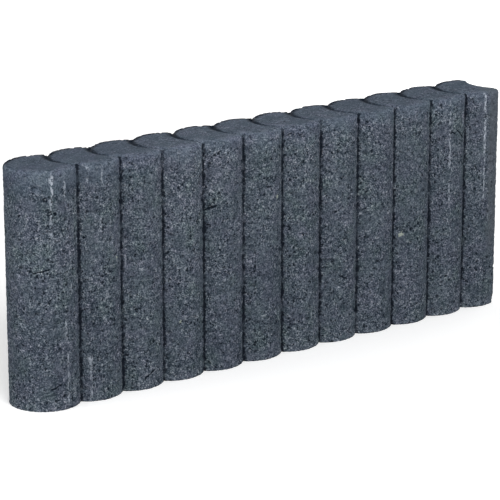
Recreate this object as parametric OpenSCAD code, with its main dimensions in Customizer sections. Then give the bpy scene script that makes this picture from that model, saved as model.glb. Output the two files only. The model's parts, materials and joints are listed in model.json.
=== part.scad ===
// Concrete palisade edging: one pressed unit of fused round columns.
// The convex nose on its left end sits in the socket of the unit before it, and the
// socket on its right end takes the nose of the unit after it.
// The row runs along x, the base stands on z = 0, and the origin is under the middle.

/* [Unit] */
// Length that one unit adds to a laid row
laying_length = 500; // [420:10:560]
// Height from the base to the top
unit_height = 200; // [150:10:300]
// Thickness of the unit, which is the diameter of a column
thickness = 60; // [54:1:72]
// Number of columns in one unit
column_count = 12; // [11:1:15]

/* [Top] */
// Radius of the rounded edge round the top
top_round = 3; // [2:0.5:5]
// Width of the seam pressed into the top between two columns
seam_width = 3; // [2:0.5:4]
// Depth of that seam
seam_depth = 1.5; // [1:0.25:2]

/* [Socket] */
// Gap between the socket and the nose that it takes
joint_clearance = 0.5; // [0.3:0.1:1]
// Radius of the two upright edges beside the socket
tip_round = 5; // [3:0.5:8]

/* [Hidden] */
$fn = 96;

anthracite = [0.28, 0.31, 0.35];

column_r = thickness / 2;
pitch = laying_length / column_count;
socket_r = column_r + joint_clearance;

// A tip's round touches the last column's circle from inside and the socket's circle
// from outside. Its centre is placed from the last column's axis.
tip_from_column = column_r - tip_round;
tip_from_socket = socket_r + tip_round;
tip_x = (pitch ^ 2 + tip_from_column ^ 2 - tip_from_socket ^ 2) / (2 * pitch);
tip_y = sqrt(tip_from_column ^ 2 - tip_x ^ 2);
// Directions from that centre to where its round meets the two circles
tip_column_angle = atan2(tip_y, tip_x);
tip_socket_angle = atan2(-tip_y, pitch - tip_x);

overall_length = column_r + (column_count - 1) * pitch + tip_x + tip_round;
first_x = column_r - overall_length / 2;
last_x = first_x + (column_count - 1) * pitch;
function column_x(i) = first_x + i * pitch;

// Half the angle of a column's circle that lies inside the column before it
overlap_angle = acos(pitch / thickness);
// Angle that a seam runs on past that circle, to break out through the edges
seam_overrun = 6;

// How far a cutter reaches past the faces that it cuts
past = 1;

// One column, with its top edge rounded
module column(i) {
    translate([column_x(i), 0, 0])
        rotate_extrude() {
            square([column_r, unit_height - top_round]);
            square([column_r - top_round, unit_height]);
            translate([column_r - top_round, unit_height - top_round])
                circle(r = top_round);
        }
}

// The space for the next unit's nose, flared to round the socket's own top edge
module socket_cutter() {
    translate([last_x + pitch, 0, 0])
        rotate_extrude() {
            translate([0, -past]) square([socket_r, unit_height + 2 * past]);
            difference() {
                translate([0, unit_height - top_round])
                    square([socket_r + top_round, top_round + past]);
                translate([socket_r + top_round, unit_height - top_round])
                    circle(r = top_round);
            }
        }
}

// The part of a tip's sharp corner that lies outside its round
module corner_cutter() {
    function toward(angle) = [cos(angle), sin(angle)];
    reach = 2 * tip_round;
    translate([last_x + tip_x, tip_y, -past])
        linear_extrude(height = unit_height + 2 * past)
            difference() {
                polygon([
                    [0, 0],
                    reach * toward(tip_column_angle),
                    2 * reach * toward((tip_column_angle + tip_socket_angle) / 2),
                    reach * toward(tip_socket_angle)
                ]);
                circle(r = tip_round);
            }
}

// The V-shaped seam where a column's circle lies inside the column before it
module seam_cutter(i) {
    span = 2 * (overlap_angle + seam_overrun);
    half_mouth = seam_width / 2 * (1 + past / seam_depth);
    translate([column_x(i), 0, unit_height])
        rotate([0, 0, 180 - span / 2])
            rotate_extrude(angle = span)
                polygon([
                    [column_r, -seam_depth],
                    [column_r + half_mouth, past],
                    [column_r - half_mouth, past]
                ]);
}

module palisade_band() {
    color(anthracite)
        difference() {
            union() for (i = [0 : column_count - 1]) column(i);
            socket_cutter();
            corner_cutter();
            mirror([0, 1, 0]) corner_cutter();
            for (i = [1 : column_count - 1]) seam_cutter(i);
        }
}

palisade_band();
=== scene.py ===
"""Concrete palisade edging: one pressed band of twelve fused round columns.

The columns are turned, fused and cut as solids, skinned at one fine step, and given the
relief of pressed concrete. Shapes are in metres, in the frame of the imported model. Marks
and the patterns of the concrete are in mm in that frame.
"""
import json
import math

import bpy
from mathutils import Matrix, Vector

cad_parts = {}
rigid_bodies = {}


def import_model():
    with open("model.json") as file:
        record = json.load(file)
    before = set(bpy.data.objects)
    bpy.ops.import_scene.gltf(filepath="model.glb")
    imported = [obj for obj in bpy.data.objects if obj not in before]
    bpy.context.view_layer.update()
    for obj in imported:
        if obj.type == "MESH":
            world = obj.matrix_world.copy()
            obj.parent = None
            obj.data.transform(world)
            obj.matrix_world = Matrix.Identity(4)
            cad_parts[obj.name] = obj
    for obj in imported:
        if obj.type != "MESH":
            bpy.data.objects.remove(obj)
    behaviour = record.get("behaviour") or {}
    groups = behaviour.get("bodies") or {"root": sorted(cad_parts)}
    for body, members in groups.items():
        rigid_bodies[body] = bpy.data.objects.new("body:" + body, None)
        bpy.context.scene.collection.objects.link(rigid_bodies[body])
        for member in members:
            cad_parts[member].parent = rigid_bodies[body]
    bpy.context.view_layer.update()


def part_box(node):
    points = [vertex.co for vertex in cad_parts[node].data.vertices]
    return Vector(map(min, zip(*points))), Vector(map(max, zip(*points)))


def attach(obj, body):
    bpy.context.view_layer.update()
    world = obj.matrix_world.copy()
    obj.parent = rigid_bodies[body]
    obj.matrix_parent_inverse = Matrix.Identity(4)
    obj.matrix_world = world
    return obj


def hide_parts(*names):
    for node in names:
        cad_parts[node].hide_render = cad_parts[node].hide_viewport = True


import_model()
band_low, band_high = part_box("palisade_band")

MM = 0.001

# The band
COLUMN_COUNT = 12
LAID_LENGTH = 500 * MM
PITCH = LAID_LENGTH / COLUMN_COUNT
HEIGHT = band_high.z
COLUMN_R = band_high.y
FIRST_X = band_low.x + COLUMN_R
LAST_X = FIRST_X + (COLUMN_COUNT - 1) * PITCH
COLUMN_XS = [FIRST_X + i * PITCH for i in range(COLUMN_COUNT)]
NOTCH_ANGLE = math.acos(PITCH / 2 / COLUMN_R)
GROOVE_Y = COLUMN_R * math.sin(NOTCH_ANGLE)
TOP_ROUND = 3 * MM

# The socket at the far end, which takes the nose of the next band
SOCKET_CLEARANCE = 0.5 * MM
SOCKET_X = LAST_X + PITCH
SOCKET_R = COLUMN_R + SOCKET_CLEARANCE
TIP_ROUND = 5 * MM

# The seam on top, along the left edge of each column after the first
SEAM_WIDTH = 3.6 * MM
SEAM_DEPTH = 2.0 * MM
SEAM_TILT = math.radians(1.5)
SEAM_SHORT_OF_BACK = math.radians(5)
SEAM_PAST_FRONT = math.radians(6)

# The crevice along the bottom of each groove, whose mouth starts a little outside it
CREVICE_WIDTH = 2.0 * MM
CREVICE_DEPTH = 1.8 * MM
CREVICE_MOUTH = 0.4 * MM

# The knocked base corner: how far it reaches in at the base and at its top, its height, how
# far from the band's long line it starts, and the size of the block that cuts it
CHIP_AT_BASE = 5 * MM
CHIP_AT_TOP = 0.3 * MM
CHIP_HEIGHT = 11 * MM
CHIP_FROM_MIDDLE = 12 * MM
CHIP_BLOCK = 30 * MM

# Blowholes in the faces: column, offset from its axis, height, radius, all in mm
BLOWHOLES = (
    (1, -10.0, 165.0, 2.0), (1, -5.7, 164.5, 1.3), (1, -13.0, 176.5, 1.6), (1, 6.5, 138.0, 1.6),
    (2, 6.2, 161.0, 1.8), (2, -1.7, 150.0, 1.4), (2, -17.3, 139.0, 1.4), (3, -10.9, 116.0, 1.6),
    (5, -16.5, 143.0, 1.8), (7, 4.0, 61.0, 1.6), (8, -9.0, 118.0, 1.4), (9, 2.0, 34.0, 1.7),
    (10, -6.0, 88.0, 1.5), (12, -12.0, 131.0, 1.6), (5, -18.0, 127.0, 1.8), (8, 8.0, 129.0, 1.6),
)

# How a bubble is stretched along x, y and z
BUBBLE_SHAPE = (1.15, 1.0, 0.85)

# Pale flecks of foreign stone, placed as the blowholes are
FLECKS = (
    (10, -15.2, 84.0, 2.1), (4, -8.0, 51.0, 1.4), (6, 11.0, 142.0, 1.2), (2, 13.0, 118.0, 1.2),
)

# Chalky drag marks down the proudest lines: column, offset, lowest, highest, half width,
# strength
DRAG_MARKS = (
    (1, -7.6, 177.0, 196.0, 1.3, 1.0), (1, -8.2, 189.0, 195.0, 2.5, 0.9),
    (1, -8.8, 146.0, 178.0, 1.3, 0.6), (1, 3.8, 176.0, 191.0, 1.1, 0.6),
    (1, 3.8, 3.0, 48.0, 1.1, 0.6), (1, 2.6, 58.0, 80.0, 1.2, 0.65),
    (2, -13.6, 3.0, 38.0, 1.2, 0.55), (2, -13.9, 34.0, 39.5, 2.2, 1.0),
    (2, -13.6, 183.0, 198.0, 1.2, 0.5), (2, -2.5, 181.0, 198.0, 1.2, 0.5),
    (11, -3.6, 104.0, 198.0, 1.1, 0.65), (11, -3.8, 172.0, 179.0, 1.5, 1.0),
    (12, -3.4, 141.0, 199.0, 1.4, 1.0), (12, -3.2, 100.0, 143.0, 1.1, 0.7),
)

# Short scratches: column, then offset and height of each end
SCRATCHES = (
    (1, -21.5, 116.5, -12.0, 119.5), (1, -11.0, 18.5, -3.0, 22.0), (3, -4.0, 9.5, 5.5, 15.5),
    (5, -19.0, 141.2, -12.0, 144.2), (8, -4.0, 60.0, 3.0, 56.0),
    (11, -3.0, 168.5, 2.5, 168.0), (11, 5.5, 169.5, 14.0, 162.0),
)

# How finely the solids are made, how far a cutter runs past what it cuts, and how close
# two points are when they are one
SIDES = 96
ROUND_STEPS = 6
TIP_STEPS = 16
SEAM_STEPS = 24
PAST = 2 * MM
ONE_POINT = MM / 100

# The skin, and the relief pressed into it: name, depth, the cloud level where it is deepest,
# the level where it ends, the part of the skin that takes it, cloud size, cloud detail
SKIN_STEP = 0.9 * MM
SKIN_TRIANGLES = 190_000
RELIEFS = (
    ("settling", 0.5 * MM, 0.0, 1.0, "above_base", 22 * MM, 1),
    ("grit", 0.6 * MM, 0.1, 0.9, "sides", 2.4 * MM, 1),
    ("pits", 1.1 * MM, 0.15, 0.30, "sides", 4.5 * MM, 0),
    ("crumbled_arris", 2.0 * MM, 0.28, 0.48, "arris", 4.0 * MM, 1),
)

# Where the relief acts: it grows over the first mm of the wall and fades over the last, down
# to a share that the pressed top keeps. The arris crumbles within reach of its middle line,
# and the inner top starts this far from the walls and grooves.
BASE_FADE = 2 * MM
TOP_FADE = 8 * MM
TOP_SHARE = 0.12
ARRIS_DROP = 1 * MM
ARRIS_REACH = 3 * MM
INNER_TOP_FROM_WALL = 5 * MM
INNER_TOP_FROM_GROOVE = 4 * MM


# ---------------------------------------------------------------- modelling helpers

def make_active(piece):
    """Selects one piece alone."""
    bpy.ops.object.select_all(action="DESELECT")
    piece.select_set(True)
    bpy.context.view_layer.objects.active = piece


def new_piece(primitive, **settings):
    """Adds a primitive with nothing else selected."""
    bpy.ops.object.select_all(action="DESELECT")
    primitive(**settings)
    return bpy.context.object


def open_up(piece):
    """Starts edit mode on one piece, with all of it selected."""
    make_active(piece)
    bpy.ops.object.mode_set(mode="EDIT")
    bpy.ops.mesh.select_all(action="SELECT")


def settle(piece, name):
    """Names a piece and puts its place into its mesh, so that its object is at the origin."""
    make_active(piece)
    bpy.ops.object.transform_apply(location=True, rotation=True, scale=True)
    piece.name = piece.data.name = name
    return piece


def close_up(piece, name):
    """Ends edit mode with doubles merged and the faces pointing outwards."""
    bpy.ops.mesh.select_all(action="SELECT")
    bpy.ops.mesh.remove_doubles(threshold=ONE_POINT)
    bpy.ops.mesh.normals_make_consistent(inside=False)
    bpy.ops.object.mode_set(mode="OBJECT")
    return settle(piece, name)


def turned(name, profile, axis):
    """A solid turned about the upright line at axis, from (radius, height) points.

    The first and last points are on that line.
    """
    piece = new_piece(bpy.ops.mesh.primitive_circle_add, vertices=3, radius=MM)
    open_up(piece)
    bpy.ops.mesh.merge(type="CENTER")
    points = [Vector((axis[0] + radius, axis[1], z)) for radius, z in profile]
    bpy.ops.transform.translate(value=points[0])
    for here, there in zip(points, points[1:]):
        bpy.ops.mesh.extrude_region_move(TRANSFORM_OT_translate={"value": there - here})
    bpy.ops.mesh.select_all(action="SELECT")
    centre = (axis[0], axis[1], 0)
    bpy.ops.mesh.spin(steps=SIDES, angle=2 * math.pi, center=centre, axis=(0, 0, 1))
    return close_up(piece, name)


def swept(name, outline, axis, start, angle, steps):
    """A solid swept anticlockwise round axis, from a closed outline of (radius, height) points."""
    piece = new_piece(bpy.ops.mesh.primitive_circle_add, vertices=len(outline), fill_type="NGON")
    for corner, (radius, z) in zip(piece.data.vertices, outline):
        corner.co = (axis[0] + radius * math.cos(start), axis[1] + radius * math.sin(start), z)
    open_up(piece)
    centre = (axis[0], axis[1], 0)
    bpy.ops.mesh.spin(steps=steps, angle=angle, center=centre, axis=(0, 0, -1))
    return close_up(piece, name)


def tip_back(piece, angle):
    """Tips a piece about the band's long line at the level of the top: the back goes down."""
    open_up(piece)
    bpy.ops.transform.rotate(value=angle, orient_axis="X", center_override=(0, 0, HEIGHT))
    bpy.ops.object.mode_set(mode="OBJECT")


def copy_at(piece, name, shift):
    """A copy with its own mesh, moved by shift."""
    make_active(piece)
    bpy.ops.object.duplicate()
    copy = bpy.context.object
    copy.location = copy.location + Vector(shift)
    return settle(copy, name)


def apply_modifier(piece, kind, **settings):
    """Puts a modifier on a piece and applies it."""
    make_active(piece)
    modifier = piece.modifiers.new(kind.lower(), kind)
    for setting, value in settings.items():
        setattr(modifier, setting, value)
    bpy.ops.object.modifier_apply(modifier=modifier.name)


def combine(piece, other, operation):
    """Fuses another solid to a piece or cuts it out, and puts the other away."""
    apply_modifier(piece, "BOOLEAN", operation=operation, solver="EXACT", object=other)
    make_active(other)
    bpy.ops.object.delete()


def rounding(radius, height, bend, outward=1):
    """Points of a rounded top arris, from the wall at radius up to the top at height."""
    centre = radius - outward * bend
    turns = [math.radians(90) * i / ROUND_STEPS for i in range(ROUND_STEPS + 1)]
    return [(centre + outward * bend * math.cos(turn), height - bend + bend * math.sin(turn))
            for turn in turns]


def on_face(column, offset, height):
    """The point on the front of a column, in mm from its axis line and from the base."""
    offset = offset * MM
    y = -math.sqrt(COLUMN_R ** 2 - offset ** 2)
    return Vector((COLUMN_XS[column - 1] + offset, y, height * MM))


# ---------------------------------------------------------------- the fused columns

def fused_columns():
    """All the columns, with their top arris rounded, as one solid."""
    profile = [(0, 0), (COLUMN_R, 0)] + rounding(COLUMN_R, HEIGHT, TOP_ROUND) + [(0, HEIGHT)]
    band = turned("band", profile, (FIRST_X, 0))
    columns = [copy_at(band, "column", (x - FIRST_X, 0, 0)) for x in COLUMN_XS[1:]]
    for column in columns:
        combine(band, column, "UNION")
    return band


def cut_socket(band):
    """The hollow end, with its top arris rounded as the columns' is."""
    flare = rounding(SOCKET_R, HEIGHT, TOP_ROUND, outward=-1)
    mouth = flare[-1][0]
    profile = [(0, -PAST), (SOCKET_R, -PAST)] + flare + [(mouth, HEIGHT + PAST), (0, HEIGHT + PAST)]
    combine(band, turned("socket", profile, (SOCKET_X, 0)), "DIFFERENCE")


def round_tips(band):
    """Rounds the two upright tips beside the socket, and their top arris.

    A tip's round touches the last column from inside and the socket from outside.
    """
    inner = COLUMN_R - TIP_ROUND
    outer = SOCKET_R + TIP_ROUND
    along = (inner ** 2 - outer ** 2 + PITCH ** 2) / (2 * PITCH)
    across = math.sqrt(inner ** 2 - along ** 2)
    from_column = math.atan2(across, along)
    to_socket = math.atan2(-across, PITCH - along)
    arris = rounding(TIP_ROUND, HEIGHT, TOP_ROUND)
    reach = 3 * TIP_ROUND
    outline = [(TIP_ROUND, -PAST)] + arris
    outline += [(arris[-1][0], HEIGHT + PAST), (reach, HEIGHT + PAST), (reach, -PAST)]
    for side in (1, -1):
        tip = (LAST_X + along, side * across)
        start = min(side * to_socket, side * from_column)
        corner = swept("corner", outline, tip, start, from_column - to_socket, TIP_STEPS)
        combine(band, corner, "DIFFERENCE")


def wear_corner(band):
    """Takes the base corner off the front tip, which has been knocked in handling."""
    base_x = band_high.x - CHIP_AT_BASE
    top_x = band_high.x - CHIP_AT_TOP
    lean = math.atan2(top_x - base_x, CHIP_HEIGHT)
    half = CHIP_BLOCK / 2
    block = new_piece(bpy.ops.mesh.primitive_cube_add, size=CHIP_BLOCK)
    open_up(block)
    bpy.ops.transform.translate(value=(half, -half - CHIP_FROM_MIDDLE, 0))
    bpy.ops.transform.rotate(value=-lean, orient_axis="Y", center_override=(0, 0, 0))
    bpy.ops.transform.translate(value=(base_x, 0, 0))
    combine(band, close_up(block, "chip"), "DIFFERENCE")


def cut_seams(band):
    """The arcs on top where each column was pressed against the one before it.

    They are deepest towards the back, and end just short of the back arris.
    """
    half = SEAM_WIDTH / 2
    slope = half / SEAM_DEPTH
    outline = [(COLUMN_R - half - PAST * slope, HEIGHT + PAST), (COLUMN_R, HEIGHT - SEAM_DEPTH),
               (COLUMN_R + half + PAST * slope, HEIGHT + PAST)]
    back_end = math.pi - NOTCH_ANGLE + SEAM_SHORT_OF_BACK
    front_end = math.pi + NOTCH_ANGLE + SEAM_PAST_FRONT
    for x in COLUMN_XS[1:]:
        seam = swept("seam", outline, (x, 0), back_end, front_end - back_end, SEAM_STEPS)
        tip_back(seam, SEAM_TILT)
        combine(band, seam, "DIFFERENCE")


def cut_crevices(band):
    """A narrow cleft along the bottom of each groove, from the base to the rounded arris."""
    rise = HEIGHT - TOP_ROUND + PAST
    for x in COLUMN_XS[:-1]:
        for side in (1, -1):
            bottom = Vector((x + PITCH / 2, side * (GROOVE_Y - CREVICE_DEPTH), -PAST))
            mouth = side * (GROOVE_Y + CREVICE_MOUTH)
            corners = [bottom, Vector((bottom.x - CREVICE_WIDTH / 2, mouth, -PAST)),
                       Vector((bottom.x + CREVICE_WIDTH / 2, mouth, -PAST))]
            cleft = new_piece(bpy.ops.mesh.primitive_circle_add, vertices=3, fill_type="NGON")
            for corner, place in zip(cleft.data.vertices, corners):
                corner.co = place
            open_up(cleft)
            bpy.ops.mesh.extrude_region_move(TRANSFORM_OT_translate={"value": (0, 0, rise)})
            combine(band, close_up(cleft, "cleft"), "DIFFERENCE")


def cut_blowholes(band):
    """Small open bubbles, wider than they are tall."""
    for column, offset, height, radius in BLOWHOLES:
        bubble = new_piece(bpy.ops.mesh.primitive_uv_sphere_add, segments=12, ring_count=8,
                           radius=radius * MM, location=on_face(column, offset, height))
        open_up(bubble)
        bpy.ops.transform.resize(value=BUBBLE_SHAPE)
        combine(band, close_up(bubble, "bubble"), "DIFFERENCE")


# ---------------------------------------------------------------- the skin and its relief

def relief(piece, name, depth, deepest, flush, where, size, detail):
    """Presses a cloud pattern into the surface: fully below deepest, not above flush."""
    texture = bpy.data.textures.new(name, "CLOUDS")
    texture.noise_scale = size
    texture.noise_depth = detail
    texture.use_color_ramp = True
    for stop, position, grey in zip(texture.color_ramp.elements, (deepest, flush), (0, 1)):
        stop.position = position
        stop.color = (grey, grey, grey, 1)
    apply_modifier(piece, "DISPLACE", texture=texture, texture_coords="LOCAL",
                   direction="NORMAL", mid_level=1.0, strength=depth, vertex_group=where)


def weight(piece, name, value_at):
    """A vertex group whose weight at each point comes from value_at(point)."""
    group = piece.vertex_groups.new(name=name)
    for vertex in piece.data.vertices:
        value = value_at(vertex.co)
        if value > 0:
            group.add([vertex.index], min(value, 1), "REPLACE")


def base_weight(at):
    """Nothing at the base, so that the band stands flat, and full just above it."""
    return at.z / BASE_FADE


def side_weight(at):
    """Full on the walls, faint on the base's edge and on the pressed top."""
    if at.z > HEIGHT - TOP_FADE:
        return max(TOP_SHARE, (HEIGHT - at.z) / TOP_FADE)
    return base_weight(at)


def arris_weight(at):
    """A band of a few mm either side of the top arris, fading in and out."""
    if on_inner_top(at):
        return 0
    return 1 - abs(HEIGHT - ARRIS_DROP - at.z) / ARRIS_REACH


def on_inner_top(at):
    """Whether a point lies well inside the top, away from the arris."""
    if at.z < HEIGHT - TOP_ROUND:
        return False
    from_axis = min(math.hypot(at.x - x, at.y) for x in COLUMN_XS)
    from_middle = abs(at.y)
    return (from_axis < COLUMN_R - INNER_TOP_FROM_WALL
            or from_middle < GROOVE_Y - INNER_TOP_FROM_GROOVE)


def drop_crumbs(piece):
    """Deletes what isn't joined to the main skin, such as a bubble shut inside."""
    open_up(piece)
    bpy.ops.mesh.select_mode(type="VERT")
    bpy.ops.mesh.select_all(action="DESELECT")
    bpy.ops.object.mode_set(mode="OBJECT")
    leftmost = min(piece.data.vertices, key=lambda vertex: vertex.co.x)
    leftmost.select = True
    bpy.ops.object.mode_set(mode="EDIT")
    bpy.ops.mesh.select_linked()
    bpy.ops.mesh.select_all(action="INVERT")
    bpy.ops.mesh.delete(type="VERT")
    bpy.ops.object.mode_set(mode="OBJECT")


def skin(piece):
    """Fuses the solid into one even skin, presses the relief in, and thins it to its budget."""
    apply_modifier(piece, "REMESH", mode="VOXEL", voxel_size=SKIN_STEP)
    drop_crumbs(piece)
    weight(piece, "above_base", base_weight)
    weight(piece, "sides", side_weight)
    weight(piece, "arris", arris_weight)
    for settings in RELIEFS:
        relief(piece, *settings)
    triangles = sum(len(face.vertices) - 2 for face in piece.data.polygons)
    share = SKIN_TRIANGLES / triangles
    apply_modifier(piece, "DECIMATE", ratio=share, use_collapse_triangulate=True)
    open_up(piece)
    bpy.ops.mesh.remove_doubles(threshold=ONE_POINT)
    bpy.ops.mesh.dissolve_degenerate(threshold=ONE_POINT)
    bpy.ops.mesh.normals_make_consistent(inside=False)
    bpy.ops.object.mode_set(mode="OBJECT")
    for vertex in piece.data.vertices:
        vertex.co.z = max(vertex.co.z, 0)
    bpy.ops.object.shade_smooth()


band = fused_columns()
cut_socket(band)
round_tips(band)
wear_corner(band)
cut_seams(band)
cut_crevices(band)
cut_blowholes(band)
skin(band)
settle(band, "concrete_band")


# ---------------------------------------------------------------- node helpers

def tone(red, green, blue):
    """A display colour, 0 to 255, as the linear colour that a shader takes."""
    def linear(level):
        level = level / 255
        return level / 12.92 if level <= 0.04045 else ((level + 0.055) / 1.055) ** 2.4
    return (linear(red), linear(green), linear(blue), 1)


class Recipe:
    """Adds the nodes of one material or node group and wires them."""

    def __init__(self, tree):
        self.tree = tree
        self.count = 0

    def put(self, value, socket):
        """Wires a socket's output to another, or sets a plain value on it."""
        if isinstance(value, bpy.types.NodeSocket):
            self.tree.links.new(value, socket)
        elif value is not None:
            socket.default_value = value

    def add(self, kind, inputs=(), **settings):
        """A new node, twelve to a row."""
        node = self.tree.nodes.new("ShaderNode" + kind)
        node.location = (200 * (self.count % 12), -240 * (self.count // 12))
        self.count += 1
        for setting, value in settings.items():
            setattr(node, setting, value)
        for place, value in dict(inputs).items():
            self.put(value, node.inputs[place])
        return node

    def maths(self, operation, first, second=None, clamp=False):
        inputs = {0: first, 1: second}
        return self.add("Math", inputs, operation=operation, use_clamp=clamp).outputs[0]

    def chain(self, operation, values):
        """One value out of several, worked through from the left."""
        result = values[0]
        for value in values[1:]:
            result = self.maths(operation, result, value)
        return result

    def plus(self, *values):
        return self.chain("ADD", values)

    def times(self, *values):
        return self.chain("MULTIPLY", values)

    def most(self, *values):
        return self.chain("MAXIMUM", values)

    def minus(self, first, second):
        return self.maths("SUBTRACT", first, second)

    def over(self, first, second):
        return self.maths("DIVIDE", first, second)

    def distance(self, first, second):
        """How far two lengths at a right angle reach together."""
        return self.maths("SQRT", self.plus(self.times(first, first), self.times(second, second)))

    def swing(self, noise, reach):
        """A noise, moved to lie about zero, and reach wide from end to end."""
        return self.times(self.minus(noise, 0.5), reach)

    def vector(self, operation, first, second=None):
        outputs = self.add("VectorMath", {0: first, 1: second}, operation=operation).outputs
        plain = operation in ("DOT_PRODUCT", "DISTANCE", "LENGTH")
        return outputs["Value" if plain else "Vector"]

    def scaled(self, vector, factor):
        inputs = {0: vector, "Scale": factor}
        return self.add("VectorMath", inputs, operation="SCALE").outputs[0]

    def parts(self, vector):
        """The x, y and z of a vector."""
        return self.add("SeparateXYZ", {0: vector}).outputs

    def span(self, value, start, end, low=0.0, high=1.0, smooth=True):
        """Low where value is at start, high where it is at end, and in between on the way."""
        kind = "SMOOTHSTEP" if smooth else "LINEAR"
        inputs = {"Value": value, "From Min": start, "From Max": end, "To Min": low, "To Max": high}
        return self.add("MapRange", inputs, interpolation_type=kind).outputs["Result"]

    def blend(self, share, first, second, kind="MIX"):
        node = self.add("Mix", data_type="RGBA", blend_type=kind)
        for place, value in ((0, share), (6, first), (7, second)):
            self.put(value, node.inputs[place])
        return node.outputs[2]

    def tinted(self, colour, tint):
        return self.blend(1.0, colour, tint, "MULTIPLY")

    def noise(self, at, scale, detail=2.0, roughness=0.5, stretch=None):
        if stretch:
            at = self.vector("MULTIPLY", at, stretch)
        inputs = {"Vector": at, "Scale": scale, "Detail": detail, "Roughness": roughness}
        return self.add("TexNoise", inputs).outputs[0]

    def shaken(self, at, scale, detail, reach):
        """A place moved about by noise, within a space that is reach wide."""
        inputs = {"Vector": at, "Scale": scale, "Detail": detail}
        shake = self.add("TexNoise", inputs).outputs["Color"]
        shake = self.vector("SUBTRACT", shake, (0.5, 0.5, 0.5))
        return self.vector("ADD", at, self.scaled(shake, reach))


def node_group(name, inputs, output_names):
    """A new node group: inputs as names and their kinds, outputs as names of plain values."""
    group = bpy.data.node_groups.new(name, "ShaderNodeTree")
    outputs = {output_name: "Float" for output_name in output_names}
    for direction, sockets in (("INPUT", inputs), ("OUTPUT", outputs)):
        for socket_name, kind in sockets.items():
            group.interface.new_socket(name=socket_name, in_out=direction,
                                       socket_type="NodeSocket" + kind)
    recipe = Recipe(group)
    entry = group.nodes.new("NodeGroupInput").outputs
    result = group.nodes.new("NodeGroupOutput").inputs
    return group, recipe, entry, result


# ---------------------------------------------------------------- the lines of the band

def off_row(r, along, first, last):
    """How far a place lies past the nearest of a row of lines, a pitch apart.

    Along is measured from line number 0, and the row runs from number first to number last.
    """
    number = r.maths("ROUND", r.over(along, PITCH / MM))
    number = r.maths("MINIMUM", r.most(number, first), last)
    return r.minus(along, r.times(number, PITCH / MM))


def band_lines():
    """How far a point is from the nearest groove, seam and wall of a column, in mm."""
    group, r, entry, result = node_group("band lines", {"At": "Vector"}, ("Groove", "Seam", "Edge"))
    x, y, _ = r.parts(entry["At"])
    column_r = COLUMN_R / MM
    # The nearest groove, out of those between the columns
    from_first_groove = r.minus(x, (FIRST_X + PITCH / 2) / MM)
    along = off_row(r, from_first_groove, 0.0, COLUMN_COUNT - 2.0)
    across = r.minus(r.maths("ABSOLUTE", y), GROOVE_Y / MM)
    r.put(r.distance(along, across), result["Groove"])
    # The nearest left edge of a column after the first
    chord = r.maths("SQRT", r.most(r.minus(column_r ** 2, r.times(y, y)), 0.0))
    left_edge = r.minus(r.plus(x, chord), FIRST_X / MM)
    gap = r.maths("ABSOLUTE", off_row(r, left_edge, 1.0, COLUMN_COUNT - 1.0))
    r.put(r.times(gap, r.over(chord, column_r)), result["Seam"])
    # How far inside the nearest column's wall
    from_first_axis = r.minus(x, FIRST_X / MM)
    along = off_row(r, from_first_axis, 0.0, COLUMN_COUNT - 1.0)
    r.put(r.minus(column_r, r.distance(along, y)), result["Edge"])
    return group


# ---------------------------------------------------------------- marks on the faces

def drag_mark():
    """A broken chalky line down the front, straight but for a slight waver."""
    inputs = {"At": "Vector", "Line": "Float", "Lowest": "Float", "Highest": "Float",
              "Half Width": "Float", "Strength": "Float"}
    group, r, entry, result = node_group("drag mark", inputs, ("Mask",))
    at = entry["At"]
    x, y, z = r.parts(at)
    waver = r.swing(r.noise(at, 0.30, 2.0, 0.6), 2.4)
    aside = r.maths("ABSOLUTE", r.plus(r.minus(x, entry["Line"]), waver))
    across = r.span(r.over(aside, entry["Half Width"]), 1.0, 0.45)
    above = r.span(r.minus(z, entry["Lowest"]), -2.0, 3.0)
    below = r.span(r.minus(entry["Highest"], z), -1.5, 1.5)
    stretches = r.span(r.noise(at, 0.16, 1.0), 0.36, 0.50)
    crumbs = r.span(r.noise(at, 0.75, 2.0, 0.6, stretch=(1.0, 1.0, 0.5)), 0.40, 0.54)
    broken = r.times(stretches, crumbs)
    front = r.span(y, -20.0, -22.0)
    mask = r.times(across, above, r.times(below, broken), front, entry["Strength"])
    r.put(mask, result["Mask"])
    return group


def scratch():
    """A short dark scratch on the front, between two points."""
    inputs = {"At": "Vector", "Start": "Vector", "Run": "Vector"}
    group, r, entry, result = node_group("scratch", inputs, ("Mask",))
    run = entry["Run"]
    flat = r.vector("MULTIPLY", entry["At"], (1, 0, 1))
    away = r.vector("SUBTRACT", r.shaken(flat, 0.4, 2.0, 3.2), entry["Start"])
    reach = r.vector("DOT_PRODUCT", away, run)
    share = r.maths("DIVIDE", reach, r.vector("DOT_PRODUCT", run, run), clamp=True)
    aside = r.vector("DISTANCE", away, r.scaled(run, share))
    front = r.span(r.parts(entry["At"])[1], -18.0, -20.0)
    r.put(r.times(r.span(aside, 1.25, 0.45), front), result["Mask"])
    return group


def ragged_spot():
    """A spot with a ragged edge: the painted shade in a blowhole's mouth, or a pale fleck."""
    inputs = {"At": "Vector", "Centre": "Vector", "Radius": "Float"}
    group, r, entry, result = node_group("ragged spot", inputs, ("Mask",))
    away = r.over(r.vector("DISTANCE", entry["At"], entry["Centre"]), entry["Radius"])
    ragged = r.swing(r.noise(entry["At"], 0.55, 3.0), 2.4)
    r.put(r.span(r.plus(away, ragged), 1.35, 0.85), result["Mask"])
    return group


def all_marks(r, at, group, settings):
    """One mask out of a mark's group, placed once for each of its settings."""
    masks = [r.add("Group", {"At": at, **values}, node_tree=group).outputs["Mask"]
             for values in settings]
    return r.most(*masks)


# ---------------------------------------------------------------- anthracite concrete

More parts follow.
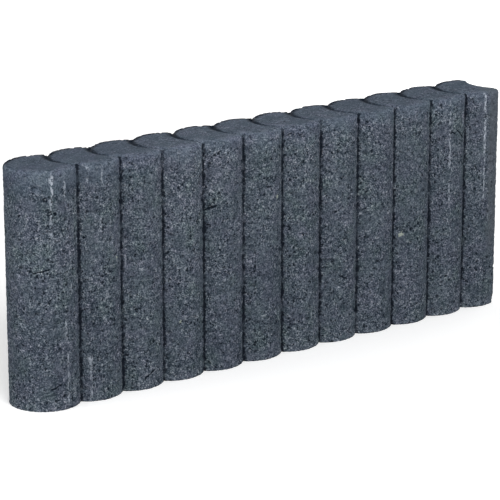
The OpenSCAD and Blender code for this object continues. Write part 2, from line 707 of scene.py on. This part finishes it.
FACE = tone(78.5, 87.7, 98.3)
TOP_FACE = tone(61.5, 72, 85.5)
# Rubbed brownish, and painted lighter where the far end gets less light
RUBBED_AND_PAINTED_LIGHTER = tone(88, 94, 101)
# A painted highlight along the top arris
RIM_HIGHLIGHT = tone(85, 95, 108)
# Painted shade in the grooves, partly dirt
GROOVE_SHADE_AND_DIRT = tone(16, 21, 30)
# Painted shade in the seams and along the back arris
SEAM_AND_ARRIS_SHADE = tone(26, 34, 44)
# Painted shade in pores and blowholes, and the own dark of scratches
PORE_SHADE_AND_SCRATCH_DARK = tone(18, 25, 34)
SAND_LIGHT = tone(132, 139, 148)
CHALK = tone(172, 180, 192)
FLECK = tone(158, 166, 158)
GREEN_TINT = (0.96, 1.015, 0.945, 1)
PLUM_TINT = (1.04, 0.985, 1.03, 1)

# Noises in the concrete: scale for each mm, then detail and roughness
RAGGED_BORDERS = (0.055, 4.0, 0.65)
FINE_GRAIN = (0.84, 1.5, 0.55)
COARSE_GRAIN = (0.27, 1.0, 0.5)
GRAINY_PATCHES = (0.045, 2.0, 0.6)
HAND_CLOUDS = (0.017, 2.0)
FINGER_CLOUDS = (0.08, 2.0)
TINTED_PATCHES = (0.055, 3.0, 0.6)
RUBBED_BANDS = (0.5, 1.0, 0.5)
WANDERING_LINES = (0.30, 3.0, 0.65)
# Where the painted shade in the grooves is stronger or weaker
GROOVE_SHADE_PATCHES = (0.12, 2.0)

# Specks: scale of their cells, radius in a cell, share of the cells that hold one
SMALL_PORES = (0.48, 0.52, 0.22)
LARGE_PORES = (0.26, 0.44, 0.16)
SAND_GRAINS = (0.42, 0.50, 0.11)

# Light grains are greyer than dark ones: how strongly each colour follows the grain
GRAIN_POWERS = (1.11, 1.0, 0.91)


class Surface:
    """What the steps of the concrete's recipe ask about a point on the band, in mm."""

    def __init__(self, r):
        self.at = r.scaled(r.add("TexCoord").outputs["Object"], 1 / MM)
        self.x, self.y, self.z = r.parts(self.at)
        self.lines = r.add("Group", {"At": self.at}, node_tree=band_lines()).outputs
        self.up = r.parts(r.add("NewGeometry").outputs["Normal"])[2]
        self.ragged = r.minus(r.noise(self.at, *RAGGED_BORDERS), 0.5)
        self.height = r.plus(self.z, r.times(self.ragged, 40.0))
        # The press left the top smooth, fading down the first few mm of the walls, and
        # further down on the first columns
        start = band_low.x / MM
        down_to = r.span(self.x, start + 20.0, start + 170.0, 178.0, 190.0)
        self.smooth = r.span(r.minus(self.height, down_to), -6.0, 18.0)
        # The grain is weaker where the surface is smooth
        patchy = r.span(r.noise(self.at, *GRAINY_PATCHES), 0.36, 0.56, 0.72, 1.10)
        self.contrast = r.times(r.span(self.smooth, 0.0, 1.0, 1.0, 0.52), patchy)


def specks(r, at, scale, radius, share):
    """Ragged specks, one in some of the cells: 1 inside a speck, 0 outside."""
    inputs = {"Vector": r.shaken(at, 0.9, 1.0, 2.4), "Scale": scale}
    cells = r.add("TexVoronoi", inputs).outputs
    chance = r.add("SeparateColor", {0: cells["Color"]}).outputs[0]
    kept = r.span(chance, 1 - share, 1 - share + 0.02)
    return r.times(kept, r.span(cells["Distance"], radius, radius * 0.5))


def body_colour(r, s):
    """The colour under the grain: the smooth top, a painted highlight along its rim, and the tints
    of weather.
    """
    body = r.blend(s.smooth, FACE, TOP_FACE)
    # The rim's painted highlight is on the wall, and fades across the first few mm of the top
    on_wall = r.times(r.span(s.height, 180.0, 198.0), r.span(s.up, 0.97, 0.75))
    inside = r.plus(s.lines["Edge"], r.times(s.ragged, 24.0))
    on_front = r.times(r.span(s.z, 195.0, 197.0), r.span(s.y, -4.0, -16.0))
    on_top = r.times(r.span(inside, 12.0, 1.0, 0.0, 0.9), on_front)
    body = r.blend(r.most(on_wall, on_top), body, RIM_HIGHLIGHT)
    # Greenish here and plum there
    tint = r.noise(s.at, *TINTED_PATCHES)
    greenish = r.times(r.span(tint, 0.53, 0.67), s.contrast)
    body = r.blend(greenish, body, r.tinted(body, GREEN_TINT))
    return r.blend(r.span(tint, 0.52, 0.38), body, r.tinted(body, PLUM_TINT))


def grained(r, s, fine, body):
    """Sand grain, light against dark, over clouds the size of a hand and of a finger."""
    coarse = r.noise(s.at, *COARSE_GRAIN)
    grain = r.plus(r.swing(fine, 4.9), r.swing(coarse, 1.6))
    clouds = r.plus(r.swing(r.noise(s.at, *HAND_CLOUDS), 0.45),
                    r.swing(r.noise(s.at, *FINGER_CLOUDS), 0.55))
    # Painted shade by height: it is a little darker towards the base and lighter towards the top,
    # but for the pressed foot itself
    rise = r.times(r.minus(s.z, 100.0), 0.0008)
    foot = r.span(s.z, 14.0, 1.0, 0.0, 0.15)
    level = r.plus(r.times(grain, s.contrast), r.plus(clouds, rise))
    level = r.plus(level, foot)
    shades = [r.maths("EXPONENT", r.times(level, power)) for power in GRAIN_POWERS]
    grey = r.add("CombineColor", dict(enumerate(shades))).outputs[0]
    return r.tinted(body, grey)


def rub_far_end(r, s, colour):
    """The far end was handled: its right side is rubbed smooth and brownish, and painted lighter to
    make up for the light it gets less of.
    """
    side = r.minus(r.plus(s.x, r.times(s.ragged, 9.0)), LAST_X / MM)
    corner = r.times(r.span(side, -2.5, 3.5), r.span(s.y, -10.0, -14.0))
    bands = r.noise(s.at, *RUBBED_BANDS, stretch=(1.0, 1.0, 0.04))
    banded = r.times(corner, r.span(bands, 0.30, 0.60, 0.25, 0.75))
    return r.blend(r.times(banded, r.span(s.z, 35.0, 75.0)), colour, RUBBED_AND_PAINTED_LIGHTER)


def mark_faces(r, s, colour):
    """Chalky drag marks, then pale flecks, then painted shade in the blowholes, and dark scratches.
    """
    chalk = all_marks(r, s.at, drag_mark(), [
        {"Line": COLUMN_XS[column - 1] / MM + offset, "Lowest": low, "Highest": high,
         "Half Width": half, "Strength": strength}
        for column, offset, low, high, half, strength in DRAG_MARKS])
    colour = r.blend(chalk, colour, CHALK)
    spot = ragged_spot()
    holes, flecks = [all_marks(r, s.at, spot, [
        {"Centre": on_face(column, offset, height) / MM, "Radius": radius}
        for column, offset, height, radius in places]) for places in (BLOWHOLES, FLECKS)]
    colour = r.blend(r.times(flecks, 0.9), colour, FLECK)
    scratches = all_marks(r, s.at, scratch(), [
        {"Start": (COLUMN_XS[column - 1] / MM + start, 0, top),
         "Run": (end - start, 0, bottom - top)}
        for column, start, top, end, bottom in SCRATCHES])
    # Painted shade in the blowholes; the scratches' dark is their own
    return r.blend(r.most(holes, scratches), colour, PORE_SHADE_AND_SCRATCH_DARK)


def darken_lines(r, s, colour):
    """Painted shade, partly dirt, in the grooves; painted shade in the seams and along the back
    arris of the top.
    """
    wander = r.minus(r.noise(s.at, *WANDERING_LINES), 0.5)
    # Painted shade, partly dirt, along the bottom of each groove, stronger in some stretches than
    # others
    groove = r.span(r.plus(s.lines["Groove"], r.times(wander, 6.0)), 2.4, 0.7)
    groove_shade_share = r.span(r.noise(s.at, *GROOVE_SHADE_PATCHES), 0.35, 0.5, 0.6, 0.95)
    colour = r.blend(r.times(groove, groove_shade_share), colour, GROOVE_SHADE_AND_DIRT)
    # A seam gapes towards the back, and its painted shade widens there
    gape = r.span(s.y, -16.0, 20.0, 1.6, 4.6)
    seam = r.span(r.over(r.plus(s.lines["Seam"], r.times(wander, 6.0)), gape), 1.3, 0.4)
    fade = r.span(s.y, -26.0, 8.0, 0.40, 1.0)
    seam = r.times(seam, r.span(s.up, 0.2, 0.6), fade)
    # A painted line of shade along the back arris, which runs out at both ends of the band
    inside = r.plus(s.lines["Edge"], r.times(wander, 10.0))
    inside = r.plus(inside, r.span(s.y, 2.0, 20.0, 9.0, 0.0))
    line = r.times(r.span(inside, 7.5, 4.0), r.span(s.z, 196.0, 198.5))
    return r.blend(r.most(seam, line), colour, SEAM_AND_ARRIS_SHADE)


def anthracite_concrete():
    """Through-coloured pressed concrete with its wear."""
    material = bpy.data.materials.new("anthracite_concrete")
    material.use_nodes = True
    r = Recipe(material.node_tree)
    shader = material.node_tree.nodes["Principled BSDF"]
    shader.inputs["Specular IOR Level"].default_value = 0.03
    s = Surface(r)
    fine = r.noise(s.at, *FINE_GRAIN)
    colour = grained(r, s, fine, body_colour(r, s))
    # Painted shade in the small pores
    pores = r.most(specks(r, s.at, *SMALL_PORES), specks(r, s.at, *LARGE_PORES))
    pores = r.times(pores, s.contrast)
    colour = r.blend(r.times(pores, 0.85), colour, PORE_SHADE_AND_SCRATCH_DARK)
    sand = r.times(specks(r, s.at, *SAND_GRAINS), s.contrast)
    colour = r.blend(r.times(sand, 0.70), colour, SAND_LIGHT)
    for step in (rub_far_end, mark_faces, darken_lines):
        colour = step(r, s, colour)
    r.put(colour, shader.inputs["Base Color"])
    r.put(r.span(s.smooth, 0.0, 1.0, 0.93, 0.80), shader.inputs["Roughness"])
    hollow = r.minus(fine, r.times(pores, 0.5))
    bump = r.add("Bump", {"Strength": 0.8, "Distance": 0.6 * MM, "Height": hollow})
    r.put(bump.outputs[0], shader.inputs["Normal"])
    return material


band.data.materials.clear()
band.data.materials.append(anthracite_concrete())
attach(band, "root")
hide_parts("palisade_band")


# ---------------------------------------------------------------- floor, light and camera

FLOOR_SIZE = 12
FLOOR_SHADE = (0.2, 0.2, 0.2, 1)
FLOOR_WHITE = (0.98, 0.98, 0.98, 1)
WHITE = (1, 1, 1, 1)
WORLD_LEVEL = 0.38

# Soft lamps: name, azimuth (0 is in front) and elevation in degrees, level, size. A level of
# 1 lights a surface that faces the lamp fully.
LAMP_DISTANCE = 2.6
LAMPS = (
    ("front_softbox", -14, 37, 0.84, (1.8, 1.3)),
    ("left_fill", -98, 12, 0.38, (1.4, 1.0)),
    ("back_fill", 160, 8, 0.40, (1.8, 1.0)),
    ("right_fill", 105, 6, 0.30, (1.4, 1.0)),
)

# The camera: place, how far it is raised from looking straight down, turn, lens in mm
CAMERA_PLACE = (-1.2855, -1.6448, 0.6947)
CAMERA_RAISED = math.radians(73.79)
CAMERA_TURNED = math.radians(-37.75)
LENS_LENGTH = 182.2
SENSOR_WIDTH = 36


def seen_itself(r):
    """1 where something is seen, directly or in a gloss or a glass, and 0 where it only lights."""
    path = r.add("LightPath").outputs
    return r.most(path["Is Camera Ray"], path["Is Glossy Ray"], path["Is Transmission Ray"])


def pale_floor():
    """A white floor that keeps the band's shadow and throws little light back."""
    floor = new_piece(bpy.ops.mesh.primitive_plane_add, size=FLOOR_SIZE)
    settle(floor, "floor")
    material = bpy.data.materials.new("floor_white")
    material.use_nodes = True
    r = Recipe(material.node_tree)
    shader = material.node_tree.nodes["Principled BSDF"]
    shader.inputs["Roughness"].default_value = 1.0
    shader.inputs["Specular IOR Level"].default_value = 0.0
    shader.inputs["Emission Color"].default_value = WHITE
    seen = seen_itself(r)
    r.put(r.blend(seen, FLOOR_SHADE, FLOOR_WHITE), shader.inputs["Base Color"])
    # Away from the band, where no shadow falls, it is as white as what lies behind it
    away = r.vector("LENGTH", r.add("TexCoord").outputs["Object"])
    glow = r.times(seen, r.span(away, 0.7, 1.6, 0.22, 1.0))
    r.put(glow, shader.inputs["Emission Strength"])
    floor.data.materials.append(material)


def studio_world():
    """A white surround that is seen at full strength and lights the band more softly."""
    world = bpy.data.worlds.new("studio")
    world.use_nodes = True
    bpy.context.scene.world = world
    r = Recipe(world.node_tree)
    background = world.node_tree.nodes["Background"]
    background.inputs["Color"].default_value = WHITE
    strength = r.span(seen_itself(r), 0.0, 1.0, WORLD_LEVEL, 1.0, smooth=False)
    r.put(strength, background.inputs["Strength"])


def softbox(name, azimuth, elevation, level, size):
    """A soft lamp aimed at the middle of the band."""
    lamp = bpy.data.lights.new(name, "AREA")
    lamp.shape = "RECTANGLE"
    lamp.size, lamp.size_y = size
    lamp.energy = level * (math.pi * LAMP_DISTANCE) ** 2
    box = bpy.data.objects.new(name, lamp)
    bpy.context.collection.objects.link(box)
    turn = math.radians(azimuth)
    rise = math.radians(elevation)
    level_part = math.cos(rise)
    aim = Vector((math.sin(turn) * level_part, -math.cos(turn) * level_part, math.sin(rise)))
    box.location = Vector((0, 0, HEIGHT / 2)) + LAMP_DISTANCE * aim
    box.rotation_euler = aim.to_track_quat("Z", "Y").to_euler()
    box.visible_camera = False


def camera():
    """The main view: from the front left and a little above."""
    lens = bpy.data.cameras.new("camera")
    lens.sensor_width = SENSOR_WIDTH
    lens.lens = LENS_LENGTH
    view = bpy.data.objects.new("camera", lens)
    bpy.context.collection.objects.link(view)
    view.location = CAMERA_PLACE
    view.rotation_euler = (CAMERA_RAISED, 0, CAMERA_TURNED)
    bpy.context.scene.camera = view


pale_floor()
studio_world()
for settings in LAMPS:
    softbox(*settings)
camera()
bpy.context.scene.view_settings.view_transform = "Standard"
